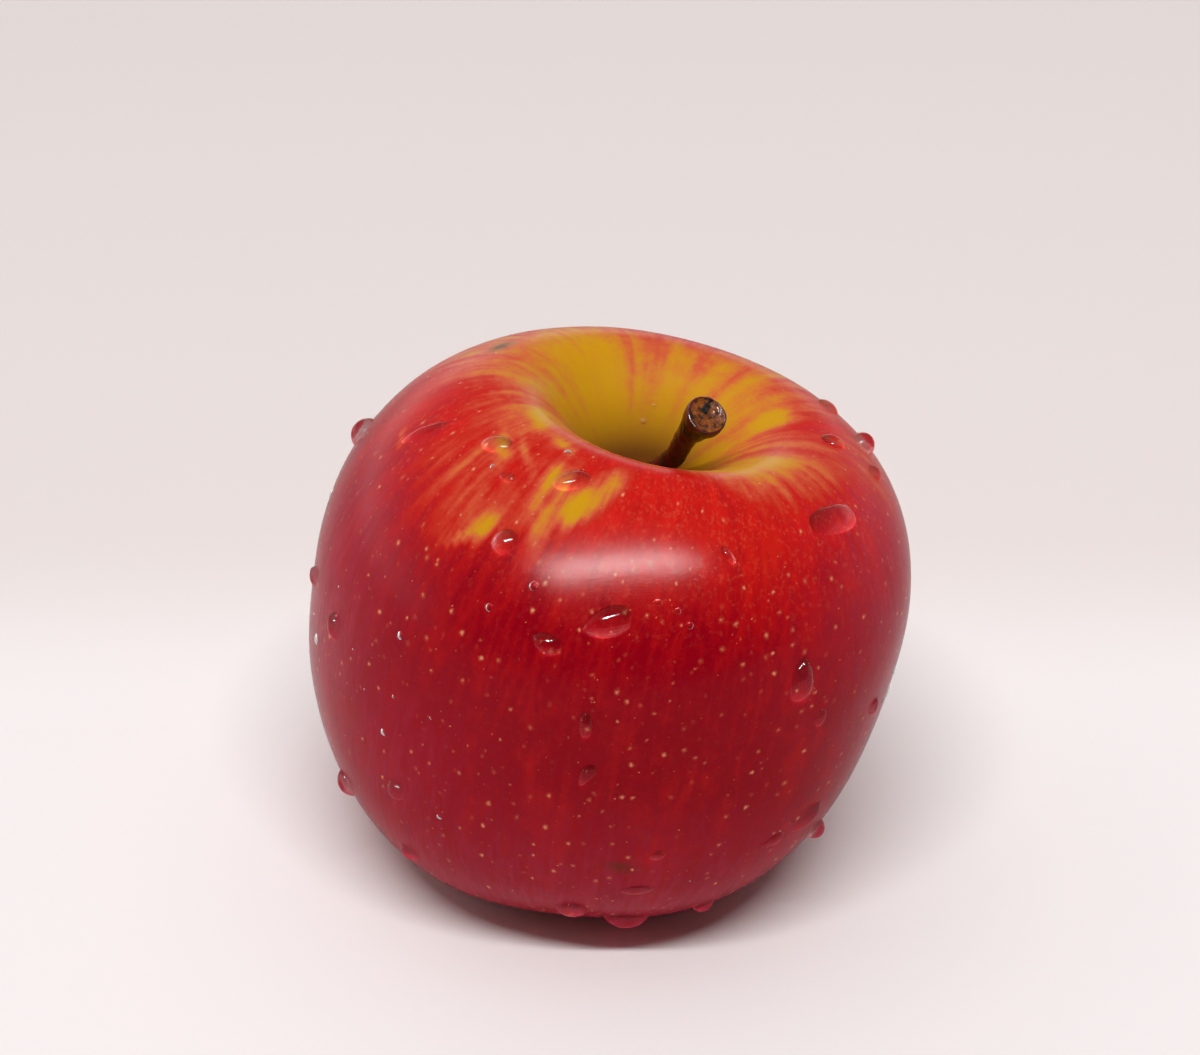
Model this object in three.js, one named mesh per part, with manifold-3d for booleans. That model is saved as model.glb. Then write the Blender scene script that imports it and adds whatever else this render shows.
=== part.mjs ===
// A ripe red apple with its stem, its dried calyx and the drops of water that stand on its skin.
// Millimetres, +Z up. The origin is on the surface that the apple rests on, below the middle of its box.
import * as THREE from "three";
import { mergeVertices } from "three/addons/utils/BufferGeometryUtils.js";
import Module from "manifold-3d";

// ---- Driving dimensions, in millimetres and degrees ----
// Body: heights are measured from the widest ring.
const HALF_WIDTH = 38;
const SHOULDER_RISE = 31.9;
const BODY_DROP = 39.4;
const TOP_FULLNESS = 2.26; // superellipse exponents: 2 is round, more is fuller
const BASE_FULLNESS = 2.87;
const BASE_TAPER = 0.024;
const OVAL = 0.038; // how far the plan is from round, as a share of the radius
const OVAL_AZIMUTH = -38.6;

// Stem cavity and calyx basin: rounded pits of this depth and spread.
const CAVITY_DEPTH = 17.1;
const CAVITY_SPREAD = 12.9;
const BASIN_DEPTH = 9.5;
const BASIN_SPREAD = 10.8;

// Five lobes swell the lower half and end in five low feet around the basin.
const LOBES = 5;
const LOBE_AZIMUTH = 15.2;
const LOBE_SWELL = 0.022;
const FOOT_DROP = 0.35;
const FOOT_RADIUS = 17;
const FOOT_SPREAD = 7;
const REST_LEVEL = -37.1; // the feet are worn flat at this height, so the apple stands

// The axis bends over as it rises, as in fruit that hung from one side.
const LEAN_X = 9.97;
const LEAN_Y = 2.75;

// Stem: a bent shaft that flares into a knob, where it broke off the spur.
const STEM_PATH = [
  [0.8, -0.2, 1.35],
  [2.7, -1.0, 3.1],
  [4.85, -1.8, 5.1],
  [5.8, -3.1, 7.7],
  [6.75, -5.1, 10.8],
  [8.75, -8.0, 14.85],
];
const STEM_RADIUS = 1.36;
const STEM_FOOT_RADIUS = 1.36;
const KNOB_RADIUS = 2.75;
const KNOB_SPREAD = 0.22; // share of the stem's length over which it flares
const KNOB_DISH = 0.35; // depth of the dish in the broken end
const STEM_SIDES = 14;
const STEM_RINGS = 16;

// Dried calyx: five sepals around a tuft of stamens, hanging in the basin.
const SEPAL_LENGTH = 5.4;
const SEPAL_WIDTH = 3.2;
const SEPAL_THICKNESS = 0.5;
const SEPAL_RING = 2.1;
const SEPAL_CURL = 2.6;
const STAMENS = 8;
const STAMEN_LENGTH = 3.2;
const TUFT_RADIUS = 1.2;

// Smallest gap between neighbouring pieces.
const GAP = 0.2;
const CALYX_GAP = 0.5;

// Mesh fineness.
const BODY_RINGS = 46;
const BODY_SIDES = 64;
const DROP_SIDES = 12;

// Water drops: where each one sits (azimuth from +X, polar angle down from the stem's side), its
// length, width and height, the turn of its length away from straight down, and its tail: above 0
// the lower end is drawn out to a point, below 0 the upper end. A fullness above 2 squares it off.
const DROPS = [
  // on the front cheek
  { azimuth: -96, polar: 65, length: 6.2, width: 3.9, height: 1.1, turn: 119, tail: -0.5 },
  { azimuth: -106, polar: 72, length: 4.1, width: 2.7, height: 0.8, turn: 77, tail: -0.2 },
  { azimuth: -95, polar: 86, length: 3.7, width: 2.0, height: 0.7, turn: 12, tail: -0.2 },
  { azimuth: -93, polar: 92, length: 3.6, width: 1.8, height: 0.5, turn: -16, tail: 0.5 },
  { azimuth: -56, polar: 77, length: 6.1, width: 3.7, height: 1.1, turn: 5, tail: -0.6 },
  { azimuth: -50, polar: 87, length: 2.8, width: 1.7, height: 0.6, turn: -8, tail: -0.3 },
  { azimuth: -79, polar: 116, length: 4.4, width: 2.2, height: 0.5, turn: 97, tail: 0 },
  { azimuth: -77, polar: 105, length: 2.3, width: 1.7, height: 0.5, turn: 120, tail: -0.4 },
  // on the shoulders, towards the cavity
  { azimuth: -123, polar: 56, length: 3.5, width: 3.5, height: 0.9, turn: 0, tail: 0 },
  { azimuth: -117, polar: 38, length: 4.9, width: 3.1, height: 0.9, turn: 135, tail: 0 },
  { azimuth: -145, polar: 39, length: 4.5, width: 3.0, height: 0.8, turn: 121, tail: 0 },
  { azimuth: -133, polar: 44, length: 2.4, width: 1.4, height: 0.5, turn: 107, tail: 0 },
  { azimuth: -167, polar: 49, length: 7.4, width: 1.8, height: 0.5, turn: 159, tail: 0.2 },
  { azimuth: -73, polar: 48, length: 2.9, width: 1.3, height: 0.4, turn: 34, tail: 0 },
  { azimuth: -41, polar: 44, length: 8.9, width: 3.9, height: 0.7, turn: 84, tail: -0.1, fullness: 3.2 },
  { azimuth: -8, polar: 32, length: 3.6, width: 2.9, height: 0.8, turn: 0, tail: 0 },
  { azimuth: 5, polar: 43, length: 3.5, width: 3.3, height: 1.6, turn: -21, tail: 0 },
  { azimuth: -8, polar: 45, length: 3.0, width: 2.2, height: 0.8, turn: -61, tail: 0 },
  // down the two flanks
  { azimuth: -31, polar: 91, length: 2.7, width: 1.8, height: 0.6, turn: -6, tail: 0 },
  { azimuth: -45, polar: 105, length: 5.6, width: 2.6, height: 0.9, turn: 121, tail: 0.3 },
  { azimuth: -53, polar: 107, length: 3.6, width: 1.8, height: 0.6, turn: 103, tail: -0.3 },
  { azimuth: -35, polar: 116, length: 3.2, width: 3.2, height: 1.4, turn: 0, tail: 0 },
  { azimuth: 165, polar: 68, length: 4.6, width: 3.9, height: 1.6, turn: 8, tail: 0 },
  { azimuth: -176, polar: 90, length: 3.4, width: 2.4, height: 0.8, turn: 10, tail: 0 },
  { azimuth: -158, polar: 90, length: 5.2, width: 2.4, height: 0.9, turn: 12, tail: -0.6 },
  { azimuth: -156, polar: 117, length: 4.3, width: 3.4, height: 1.3, turn: 20, tail: -0.2 },
  { azimuth: -132, polar: 104, length: 3.2, width: 2.5, height: 1.0, turn: 50, tail: -0.2 },
  { azimuth: -132, polar: 122, length: 3.2, width: 2.2, height: 0.9, turn: 63, tail: 0 },
  // hanging under the front
  { azimuth: -92, polar: 128, length: 4.6, width: 3.2, height: 1.2, turn: 93, tail: 0 },
  { azimuth: -78, polar: 137, length: 6.0, width: 4.0, height: 1.5, turn: 96, tail: 0 },
  { azimuth: -60, polar: 133, length: 3.2, width: 2.3, height: 0.9, turn: 89, tail: 0 },
];

// Drops on the back follow a rule instead: even steps in azimuth, the rest spread by the golden ratio.
const BACK_DROPS = 9;
const BACK_START = 22;
const BACK_STEP = 15;
const GOLDEN = 0.618;

const rad = THREE.MathUtils.degToRad;
const group = new THREE.Group();

function addMesh(name, geometry, material) {
  geometry.computeVertexNormals();
  const mesh = new THREE.Mesh(geometry, material);
  mesh.name = name;
  group.add(mesh);
  return mesh;
}

// Moves every vertex of a geometry to place(vertex).
function reshape(geometry, place) {
  const position = geometry.getAttribute("position");
  const vertex = new THREE.Vector3();
  for (let i = 0; i < position.count; i++) {
    vertex.fromBufferAttribute(position, i);
    const moved = place(vertex, i);
    position.setXYZ(i, moved.x, moved.y, moved.z);
  }
  return geometry;
}

// ---- The skin, as a formula ----
// A quarter of the profile is a superellipse. Returns the radius, the height above the widest ring,
// and how far below that ring the point is, from 0 to 1.
function profile(polar) {
  const upper = polar <= Math.PI / 2;
  const fullness = upper ? TOP_FULLNESS : BASE_FULLNESS;
  const level = Math.abs(Math.cos(polar)) ** (2 / fullness);
  const below = upper ? 0 : level;
  const radius = HALF_WIDTH * Math.abs(Math.sin(polar)) ** (2 / fullness) * (1 - BASE_TAPER * below ** 2);
  return { radius, height: upper ? SHOULDER_RISE * level : -BODY_DROP * level, below };
}

const bump = (distance, spread) => Math.exp(-((distance / spread) ** 2));

// Bends the upright body over: the higher a point, the more it turns.
function lean(point) {
  const rise = point.z + BODY_DROP;
  const share = THREE.MathUtils.clamp(rise / (SHOULDER_RISE + BODY_DROP), 0, 1.2);
  const turnX = rad(LEAN_X) * share;
  const turnY = rad(LEAN_Y) * share;
  const x = point.x * Math.cos(turnX) + rise * Math.sin(turnX);
  const up = rise * Math.cos(turnX) - point.x * Math.sin(turnX);
  const y = point.y * Math.cos(turnY) + up * Math.sin(turnY);
  return new THREE.Vector3(x, y, up * Math.cos(turnY) - point.y * Math.sin(turnY) - BODY_DROP);
}

// A point of the skin: polar runs from 0 in the stem cavity to PI in the calyx basin.
function skinPoint(polar, azimuth) {
  const { radius, height, below } = profile(polar);
  const lobe = Math.cos(LOBES * (azimuth - rad(LOBE_AZIMUTH)));
  const oval = Math.cos(2 * (azimuth - rad(OVAL_AZIMUTH)));
  const plan = radius * (1 + LOBE_SWELL * below * lobe + OVAL * oval);
  const cavity = height > 0 ? CAVITY_DEPTH * bump(radius, CAVITY_SPREAD) : 0;
  const basin = height < 0 ? BASIN_DEPTH * bump(radius, BASIN_SPREAD) : 0;
  const foot = height < 0 ? FOOT_DROP * lobe * bump(radius - FOOT_RADIUS, FOOT_SPREAD) : 0;
  const point = lean(
    new THREE.Vector3(
      plan * Math.cos(azimuth),
      plan * Math.sin(azimuth),
      height - cavity + basin - foot,
    ),
  );
  point.z = Math.max(point.z, REST_LEVEL);
  return point;
}

// The skin's two tangents there, per radian, and its outward normal.
function skinFrame(polar, azimuth) {
  const step = 0.005;
  const down = skinPoint(polar + step, azimuth)
    .sub(skinPoint(polar - step, azimuth))
    .divideScalar(2 * step);
  const around = skinPoint(polar, azimuth + step)
    .sub(skinPoint(polar, azimuth - step))
    .divideScalar(2 * step);
  return { down, around, normal: down.clone().cross(around).normalize() };
}

// ---- The fruit: a lathe whose rings and sides are laid on the skin ----
// The rings stand closer together in the cavity and the basin, where the skin bends most.
function ringPolar(share) {
  const crowding = 0.55;
  return Math.PI * share - (crowding / 2) * Math.sin(2 * Math.PI * share);
}

function makeFruit() {
  const rings = Array.from({ length: BODY_RINGS + 1 }, (_, i) => ringPolar(1 - i / BODY_RINGS));
  const outline = rings.map((polar) => {
    const { radius, height } = profile(polar);
    return new THREE.Vector2(radius, height);
  });
  outline[0].x = 0;
  outline[BODY_RINGS].x = 0;
  const lathe = new THREE.LatheGeometry(outline, BODY_SIDES);
  return reshape(lathe, (_, i) => {
    const side = Math.floor(i / rings.length) % BODY_SIDES;
    const ring = i % rings.length;
    const onAxis = ring === 0 || ring === BODY_RINGS;
    return skinPoint(rings[ring], onAxis ? 0 : (2 * Math.PI * side) / BODY_SIDES);
  });
}

// ---- The stem: a cylinder laid along a curve, with a radius that changes ----
function stemRadius(share) {
  const foot = (STEM_FOOT_RADIUS - STEM_RADIUS) * bump(share, 0.15);
  const knob = (KNOB_RADIUS - STEM_RADIUS) * bump(1 - share, KNOB_SPREAD);
  return STEM_RADIUS + foot + knob;
}

function makeStem() {
  const root = skinPoint(0, 0);
  const points = STEM_PATH.map((offset) => new THREE.Vector3(...offset).add(root));
  const curve = new THREE.CatmullRomCurve3(points);
  const frames = curve.computeFrenetFrames(STEM_RINGS);
  const rod = new THREE.CylinderGeometry(1, 1, 1, STEM_SIDES, STEM_RINGS);
  return reshape(rod, (vertex) => {
    const ring = Math.round((vertex.y + 0.5) * STEM_RINGS);
    const share = ring / STEM_RINGS;
    const dish = share === 1 && Math.hypot(vertex.x, vertex.z) < 0.5 ? KNOB_DISH : 0;
    const radius = stemRadius(share);
    return curve
      .getPointAt(share)
      .addScaledVector(frames.normals[ring], vertex.z * radius)
      .addScaledVector(frames.binormals[ring], vertex.x * radius)
      .addScaledVector(frames.tangents[ring], -dish);
  });
}

// ---- The dried calyx ----
// A sepal is a thin box bent out of the basin: down at first, then curling outwards to a narrow tip.
function makeSepal(azimuth) {
  const root = skinPoint(Math.PI, 0);
  const blade = new THREE.BoxGeometry(1, 1, 1, 2, 6, 1);
  const outward = new THREE.Vector3(Math.cos(azimuth), Math.sin(azimuth), 0);
  const across = new THREE.Vector3(-Math.sin(azimuth), Math.cos(azimuth), 0);
  return reshape(blade, (vertex) => {
    const share = 0.5 - vertex.y;
    const width = SEPAL_WIDTH * (0.6 + 1.2 * share - 1.7 * share ** 2);
    const cup = 1.4 * (2 * vertex.x) ** 2 * share * (1 - share);
    const lift = vertex.z * SEPAL_THICKNESS * (1 - 0.5 * share) - cup;
    const radius = SEPAL_RING + SEPAL_CURL * share ** 2 + lift * 0.8;
    const depth = CALYX_GAP + SEPAL_THICKNESS / 2 + SEPAL_LENGTH * (share - 0.18 * share ** 3);
    return root
      .clone()
      .addScaledVector(outward, radius)
      .addScaledVector(across, vertex.x * width)
      .add(new THREE.Vector3(0, 0, -depth + lift * 0.5 * share));
  });
}

// The stamens stand on one small pad, so the tuft is a single solid.
function makeTuft(wasm) {
  const root = skinPoint(Math.PI, 0);
  const solidOf = (geometry) => {
    geometry.deleteAttribute("normal");
    geometry.deleteAttribute("uv");
    const merged = mergeVertices(geometry, 1e-4);
    return new wasm.Manifold(
      new wasm.Mesh({
        numProp: 3,
        vertProperties: merged.getAttribute("position").array,
        triVerts: new Uint32Array(merged.index.array),
      }),
    );
  };
  const upright = (geometry) => geometry.rotateX(-Math.PI / 2);
  const pad = upright(new THREE.CylinderGeometry(TUFT_RADIUS, TUFT_RADIUS * 0.8, 0.8, 12));
  let tuft = solidOf(pad.translate(root.x, root.y, root.z - CALYX_GAP - 0.4));
  for (let i = 0; i < STAMENS; i++) {
    const azimuth = (2 * Math.PI * i) / STAMENS;
    const splay = rad(i % 2 ? 12 : 24);
    const length = STAMEN_LENGTH * (i % 2 ? 1 : 0.8);
    const filament = upright(new THREE.CylinderGeometry(0.26, 0.14, length, 6))
      .translate(0, 0, -length / 2)
      .rotateY(-splay)
      .rotateZ(azimuth)
      .translate(root.x, root.y, root.z - CALYX_GAP - 0.5)
      .translate(0.55 * Math.cos(azimuth), 0.55 * Math.sin(azimuth), 0);
    tuft = tuft.add(solidOf(filament));
  }
  const mesh = tuft.getMesh();
  return new THREE.BufferGeometry()
    .setAttribute("position", new THREE.BufferAttribute(Float32Array.from(mesh.vertProperties), 3))
    .setIndex(new THREE.BufferAttribute(Uint32Array.from(mesh.triVerts), 1));
}

// ---- Water drops: low domes whose undersides follow the skin ----
const domeHeight = (radius) => (1 - radius ** 2) ** 0.7;
const DROP_OUTLINE = [
  new THREE.Vector2(0, 0),
  new THREE.Vector2(0.6, 0),
  new THREE.Vector2(1, 0),
  ...[0.88, 0.6, 0.3].map((radius) => new THREE.Vector2(radius, domeHeight(radius))),
  new THREE.Vector2(0, 1),
];

function makeDrop({ azimuth, polar, length, width, height, turn, tail, fullness = 2 }) {
  const centre = skinFrame(rad(polar), rad(azimuth));
  const downScale = centre.down.length();
  const aroundScale = centre.around.length();
  const cos = Math.cos(rad(turn));
  const sin = Math.sin(rad(turn));
  return reshape(new THREE.LatheGeometry(DROP_OUTLINE, DROP_SIDES), ({ x, y, z }) => {
    const reach = Math.hypot(x, z) || 1;
    const square = (Math.abs(x / reach) ** fullness + Math.abs(z / reach) ** fullness) ** (1 / fullness);
    const swell = square ? 1 / square : 1;
    const along = (x * swell * length) / 2;
    const across = ((-z * swell * width) / 2) * (1 - tail * x * Math.abs(x));
    const p = rad(polar) + (along * cos - across * sin) / downScale;
    const a = rad(azimuth) + (along * sin + across * cos) / aroundScale;
    const { normal } = skinFrame(p, a);
    return skinPoint(p, a).addScaledVector(normal, GAP + height * y);
  });
}

function backDrop(i) {
  const share = (i * GOLDEN) % 1;
  const size = (i * GOLDEN * GOLDEN + 0.3) % 1;
  return {
    azimuth: BACK_START + BACK_STEP * i,
    polar: 38 + 84 * share,
    length: 2.6 + 3.2 * size,
    width: 2.0 + 1.5 * size,
    height: 0.6 + 0.5 * size,
    turn: 150 * share - 60,
    tail: -0.5 * size,
  };
}

// ---- Finishes ----
const skin = new THREE.MeshStandardMaterial({ color: 0xa8141c, roughness: 0.28, metalness: 0 });
const bark = new THREE.MeshStandardMaterial({ color: 0x3a1710, roughness: 0.45, metalness: 0 });
const driedLeaf = new THREE.MeshStandardMaterial({ color: 0x6b4a2c, roughness: 0.8, metalness: 0 });
const water = new THREE.MeshStandardMaterial({ color: 0xdfe6ea, roughness: 0.05, metalness: 0 });

const wasm = await Module();
wasm.setup();

addMesh("fruit", makeFruit(), skin);
addMesh("stem", makeStem(), bark);
for (let i = 0; i < LOBES; i++)
  addMesh(`sepal_${i + 1}`, makeSepal(rad(LOBE_AZIMUTH + (360 / LOBES) * (i + 0.5))), driedLeaf);
addMesh("dried_stamens", makeTuft(wasm), driedLeaf);
const backDrops = Array.from({ length: BACK_DROPS }, (_, i) => backDrop(i));
[...DROPS, ...backDrops].forEach((drop, i) =>
  addMesh(`water_drop_${String(i + 1).padStart(2, "0")}`, makeDrop(drop), water),
);

// The origin goes to the middle of the box's underside.
const box = new THREE.Box3().setFromObject(group);
const centre = box.getCenter(new THREE.Vector3());
group.position.set(-centre.x, -centre.y, -box.min.z);

export default group;
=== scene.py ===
"""Looks of a ripe red apple, wet with drops of water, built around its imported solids.

Everything is in metres in the frame of the solids. Driving sizes are written in millimetres and
degrees, and are turned into metres and radians where they are used.
"""

import logging
import math
import random
from contextlib import contextmanager
from dataclasses import dataclass, field
from enum import Enum
from functools import partial
from typing import Callable, Iterator

import bpy
import numpy as np
from bpy.types import Material, Node, NodeSocket, NodeTree, Object
from mathutils import Matrix, Vector, noise
from mathutils.bvhtree import BVHTree
from mathutils.kdtree import KDTree


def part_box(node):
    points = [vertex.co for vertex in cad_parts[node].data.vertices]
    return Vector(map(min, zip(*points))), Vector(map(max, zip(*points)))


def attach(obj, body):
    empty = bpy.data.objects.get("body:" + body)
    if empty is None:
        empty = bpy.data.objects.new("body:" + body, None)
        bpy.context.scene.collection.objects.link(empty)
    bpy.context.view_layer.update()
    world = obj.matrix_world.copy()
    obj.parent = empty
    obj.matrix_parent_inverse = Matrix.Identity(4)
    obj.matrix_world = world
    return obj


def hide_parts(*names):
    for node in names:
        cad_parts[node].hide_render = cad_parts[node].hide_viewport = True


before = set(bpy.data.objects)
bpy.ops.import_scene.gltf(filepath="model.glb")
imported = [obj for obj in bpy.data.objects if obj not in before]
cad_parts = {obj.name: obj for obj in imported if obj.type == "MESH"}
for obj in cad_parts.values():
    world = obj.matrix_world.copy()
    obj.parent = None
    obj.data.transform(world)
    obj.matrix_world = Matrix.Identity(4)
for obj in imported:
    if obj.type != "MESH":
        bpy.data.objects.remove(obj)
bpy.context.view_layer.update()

LOG = logging.getLogger("red_apple")
MM = 0.001
NOISE_SEED = 7  # without one, vector noise is different on every run
MERGE_DISTANCE = 0.005 * MM
PAIR_BEND = math.radians(60)  # the most that two paired triangles may bend
PAIR_SHAPE = math.radians(100)  # and the most that their corners may be off square
SMOOTH = {"interpolation_type": "SMOOTHSTEP"}  # for a Map Range node that eases in and out

Colour = tuple[float, float, float, float]
Pair = tuple[float, float]
Triple = tuple[float, float, float]
Add = Callable[..., Node]  # add_node, tied to one node tree


# ---- Tools of the trade ----


def linear(code: str) -> Colour:
    """Turns an sRGB hex colour into linear light.

    Args:
        code: six hex digits, with or without a leading #.

    Returns:
        Red, green, blue and an alpha of 1.
    """
    digits = code.lstrip("#")
    parts = [int(digits[i : i + 2], 16) / 255 for i in (0, 2, 4)]
    red, green, blue = (p / 12.92 if p <= 0.04045 else ((p + 0.055) / 1.055) ** 2.4 for p in parts)
    return red, green, blue, 1.0


def add_node(
    tree: NodeTree, kind: str, inputs: dict | None = None, **settings: object
) -> Node:
    """Adds a node, sets its properties, and fills or links its inputs.

    Args:
        tree: the node tree that gets it.
        kind: the node's type name, without the ShaderNode that it starts with.
        inputs: for each input, by name or number, a plain value, an output socket, or a node whose
            first live output is used.
        **settings: properties of the node itself.

    Returns:
        The new node.
    """
    node = tree.nodes.new("ShaderNode" + kind)
    for name, value in settings.items():
        setattr(node, name, value)
    for key, value in (inputs or {}).items():
        if isinstance(key, int):
            socket = node.inputs[key]
        else:
            socket = next(s for s in node.inputs if s.name == key and s.enabled)
        if isinstance(value, Node):
            value = next(s for s in value.outputs if s.enabled)
        if isinstance(value, NodeSocket):
            tree.links.new(value, socket)
        else:
            socket.default_value = value
    return node


def new_material(name: str) -> tuple[Material, Add]:
    """Makes an empty material.

    Args:
        name: what the real stuff is called.

    Returns:
        The material, and add_node for its tree.
    """
    material = bpy.data.materials.new(name)
    material.use_nodes = True
    material.node_tree.nodes.clear()
    return material, partial(add_node, material.node_tree)


def in_millimetres(add: Add, stretch: Triple = (1.0, 1.0, 1.0)) -> Node:
    """Adds the place on a piece in mm. A stretch below 1 draws a pattern out along that axis."""
    place = add("TexCoord").outputs["Object"]
    scale = tuple(share / MM for share in stretch)
    return add("VectorMath", {0: place, 1: scale}, operation="MULTIPLY")


def span(places: Pair, values: Pair = (0.0, 1.0)) -> dict[str, float]:
    """The inputs of a Map Range node that goes from one value to another between two places."""
    return dict(zip(("From Min", "From Max", "To Min", "To Max"), (*places, *values)))


def finish_material(add: Add, inputs: dict) -> None:
    """Ends a material in one Principled shader with these inputs."""
    add("OutputMaterial", {"Surface": add("BsdfPrincipled", inputs)})


def overlay(add: Add, base: Node | Colour, *layers: tuple) -> Node:
    """Lays colours over a base, one after another.

    Args:
        add: add_node for the tree.
        base: the colour below.
        *layers: for each, how far it covers, and its hex code or a node.

    Returns:
        The node of the last layer.
    """
    for cover, colour in layers:
        top = linear(colour) if isinstance(colour, str) else colour
        base = add("Mix", {"Factor": cover, "A": base, "B": top}, data_type="RGBA")
    return base


def set_stops(ramp: Node, stops: list[tuple[float, Colour]]) -> None:
    """Sets the stops of a colour ramp.

    Args:
        ramp: the ramp's node, new, with its two first stops.
        stops: the position and the colour of each stop.
    """
    elements = ramp.color_ramp.elements
    while len(elements) < len(stops):
        elements.new(0.5)
    for element, (position, colour) in zip(elements, stops):
        element.position, element.color = position, colour


def activate(piece: Object) -> None:
    """Deselects everything, then selects one piece and makes it the active one."""
    bpy.ops.object.select_all(action="DESELECT")
    piece.select_set(True)
    bpy.context.view_layer.objects.active = piece


@contextmanager
def editing(piece: Object, select: str | None = "SELECT") -> Iterator[None]:
    """Opens a piece in edit mode.

    Args:
        piece: the mesh to edit.
        select: the action of select_all to start with, or None for the faces already selected.
    """
    activate(piece)
    bpy.ops.object.mode_set(mode="EDIT")
    if select:
        bpy.ops.mesh.select_all(action=select)
    else:
        bpy.ops.mesh.select_mode(type="FACE")
    yield
    bpy.ops.object.mode_set(mode="OBJECT")


def subdivide(piece: Object, levels: int) -> None:
    """Smooths a piece by subdivision, applied at once."""
    activate(piece)
    modifier = piece.modifiers.new("Subdivision", "SUBSURF")
    modifier.levels = modifier.render_levels = levels
    bpy.ops.object.modifier_apply(modifier=modifier.name)


def vertex_array(piece: Object, what: str = "co") -> np.ndarray:
    """Reads the vertices of a piece.

    Args:
        piece: the mesh to read.
        what: co for places in metres, or normal.

    Returns:
        One row for each vertex.
    """
    found = np.empty(len(piece.data.vertices) * 3, np.float32)
    piece.data.vertices.foreach_get(what, found)
    return found.reshape(-1, 3).astype(float)


def move_vertices(piece: Object, places: np.ndarray) -> None:
    """Moves all the vertices of a piece at once."""
    piece.data.vertices.foreach_set("co", np.asarray(places, np.float32).ravel())
    piece.data.update()


def ripple(places: np.ndarray, width: float) -> np.ndarray:
    """Smooth noise between about -1 and 1, at places in metres, with swellings this many mm apart."""
    return np.array([noise.noise(Vector(place)) for place in places / (width * MM)])


def wander(places: np.ndarray, width: float) -> np.ndarray:
    """Smooth vector noise, at places in metres, with swellings this many mm apart."""
    return np.array([tuple(noise.noise_vector(Vector(place))) for place in places / (width * MM)])


def copy_of(node: str, name: str) -> Object:
    """Copies a solid's mesh into a new piece, with its corners merged and its triangles paired.

    Args:
        node: the solid's name.
        name: the new piece's name.

    Returns:
        The new piece, at the origin.
    """
    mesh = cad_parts[node].data.copy()
    mesh.materials.clear()
    piece = bpy.data.objects.new(name, mesh)
    bpy.context.scene.collection.objects.link(piece)
    with editing(piece):
        bpy.ops.mesh.remove_doubles(threshold=MERGE_DISTANCE)
        bpy.ops.mesh.tris_convert_to_quads(face_threshold=PAIR_BEND, shape_threshold=PAIR_SHAPE)
    return piece


def finish_piece(
    piece: Object, slot: str, replaced: tuple[str, ...], *materials: Material
) -> None:
    """Gives a piece its materials, smooths it, ties it to the body, and hides the solids it stands for.

    Args:
        piece: the finished mesh.
        slot: the record's material slot; not used.
        replaced: the solids that it stands for.
        *materials: its materials, in slot order.
    """
    for material in materials:
        piece.data.materials.append(material)
    activate(piece)
    bpy.ops.object.shade_smooth()
    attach(piece, "root")
    if replaced:
        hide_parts(*replaced)
    LOG.info("%s: %d faces", piece.name, len(piece.data.polygons))


# ---- The shape's own angles ----


@dataclass(frozen=True)
class BentAxis:
    """The fruit's axis, which bends over as it rises, and the angles measured about it.

    Azimuth runs from +X towards +Y. The polar angle runs from 0 degrees in the stem cavity to 180
    degrees in the calyx basin.
    """

    foot_x: float = -3.43  # mm from the middle of the fruit's box
    foot_y: float = -1.03
    ring_height: float = 37.1  # mm from the resting surface to the widest ring
    drop: float = 39.4  # mm from the widest ring to the foot of the axis
    height: float = 71.3  # mm from the foot to the shoulders
    lean_x: float = 9.97  # degrees at the shoulders
    lean_y: float = 2.75
    most_lean: float = 1.2  # share of those angles that the tallest point may take
    passes: int = 8  # over which the unbending settles

    def upright(self, points: np.ndarray) -> np.ndarray:
        """Unbends points.

        Args:
            points: places in the frame, in metres, one a row.

        Returns:
            The same places in millimetres from the middle of the widest ring of an upright fruit.
        """
        low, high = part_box("fruit")
        middle = (low + high) / 2
        x = points[:, 0] / MM - middle.x / MM - self.foot_x
        y = points[:, 1] / MM - middle.y / MM - self.foot_y
        rise = points[:, 2] / MM - self.ring_height + self.drop
        straight = rise
        for _ in range(self.passes):
            share = np.clip(straight / self.height, 0, self.most_lean)
            turn_x, turn_y = math.radians(self.lean_x) * share, math.radians(self.lean_y) * share
            up = rise * np.cos(turn_y) + y * np.sin(turn_y)
            plain_y = y * np.cos(turn_y) - rise * np.sin(turn_y)
            straight = up * np.cos(turn_x) + x * np.sin(turn_x)
            plain_x = x * np.cos(turn_x) - up * np.sin(turn_x)
        return np.stack([plain_x, plain_y, straight - self.drop], axis=1)

    def angles(self, points: np.ndarray) -> tuple[np.ndarray, np.ndarray]:
        """Azimuth and polar angle of each point, in degrees."""
        x, y, z = self.upright(points).T
        return np.degrees(np.arctan2(y, x)), np.degrees(np.arctan2(np.hypot(x, y), z))


def direction(azimuth: float, polar: float) -> Vector:
    """The unit vector with this azimuth and polar angle, in degrees, about an upright axis."""
    a, p = math.radians(azimuth), math.radians(polar)
    return Vector((math.sin(p) * math.cos(a), math.sin(p) * math.sin(a), math.cos(p)))


# ---- Skin ----


class Tone(Enum):
    """What a mark on the skin shows."""

    GROUND = 0  # the yellow-green ground, where it takes away from the blush
    ROSE = 1  # a paler, pinker blush; low on the fruit, partly painted light bounced up from the floor
    DARK = 2  # a dull, darkened spot


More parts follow.
